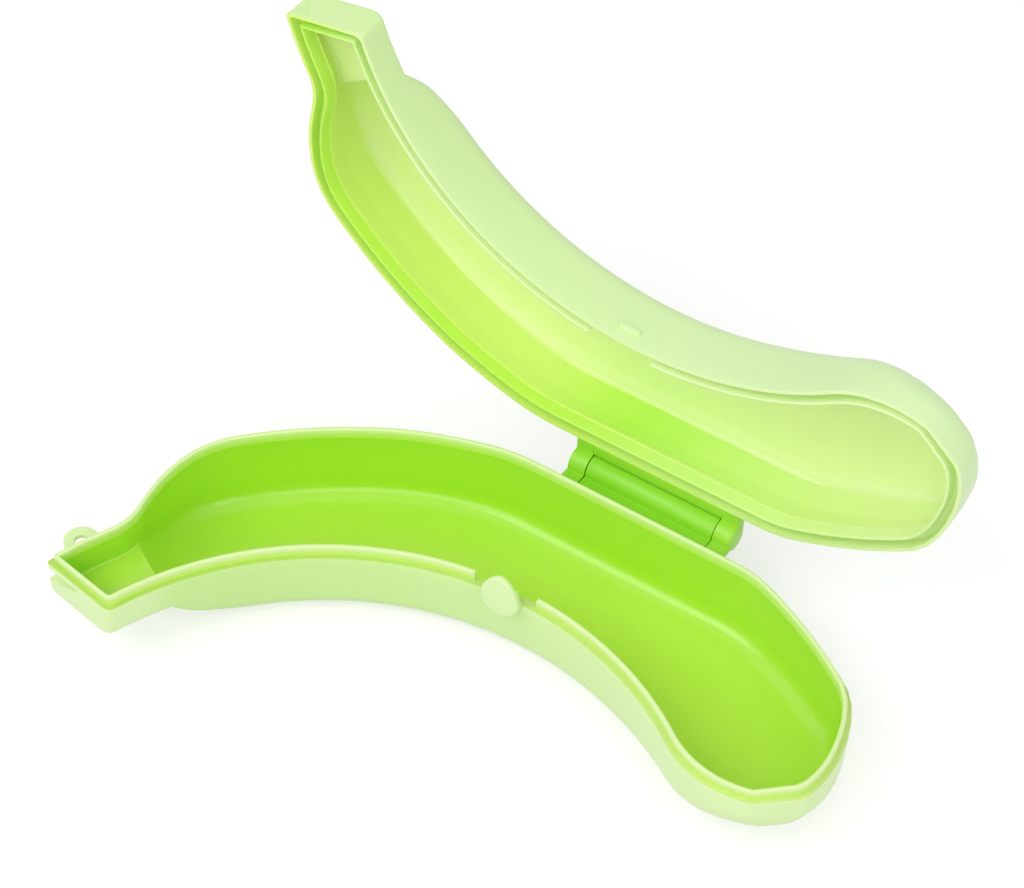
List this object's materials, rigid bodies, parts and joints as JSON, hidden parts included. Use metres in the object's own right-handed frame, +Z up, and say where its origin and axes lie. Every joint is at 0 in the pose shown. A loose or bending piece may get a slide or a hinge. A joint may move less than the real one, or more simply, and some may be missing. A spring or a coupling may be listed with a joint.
{
  "type": "banana carrying case",
  "caption": "Curved hard plastic case shaped to a banana, with a hinged lid, interlocking rim, sprung latch tongue and hanging eye, for carrying the fruit unbruised.",
  "frame": {"origin": "on the flat underside of the lower half, below the centre line of the bend at the hinge side", "axes": "+X along the hinge pin towards the tip end, +Y from the hollow side towards the hinge, +Z up; the lid is stored open"},
  "size_m": [0.2221, 0.1466, 0.1463],
  "materials": {
    "case_plastic": "glossy, slightly translucent polypropylene",
    "pin_steel": "drawn wire"
  },
  "bodies": {
    "base": {"lower_shell": "case_plastic", "rim_lip": "case_plastic", "hinge_barrel": "case_plastic", "hanging_eye": "case_plastic"},
    "lid": {"upper_shell": "case_plastic", "rim_rib": "case_plastic", "latch_catch": "case_plastic", "hinge_ear_left": "case_plastic", "hinge_ear_right": "case_plastic", "hinge_strip": "case_plastic", "hinge_pin": "pin_steel"},
    "latch": {"latch_tongue": "case_plastic"}
  },
  "joints": [
    {"name": "lid_hinge", "type": "hinge", "parent": "base", "child": "lid", "pos_m": [0.0085, 0.03, 0.0246], "axis": [1, 0, 0], "range_deg": [0, 90]},
    {"name": "latch_flex", "type": "hinge", "parent": "base", "child": "latch", "pos_m": [-0.00673, -0.02694, 0.0211], "axis": [0.9976, 0.0698, 0], "range_deg": [0, 8], "stiffness_Nm_per_rad": 0.2}
  ]
}
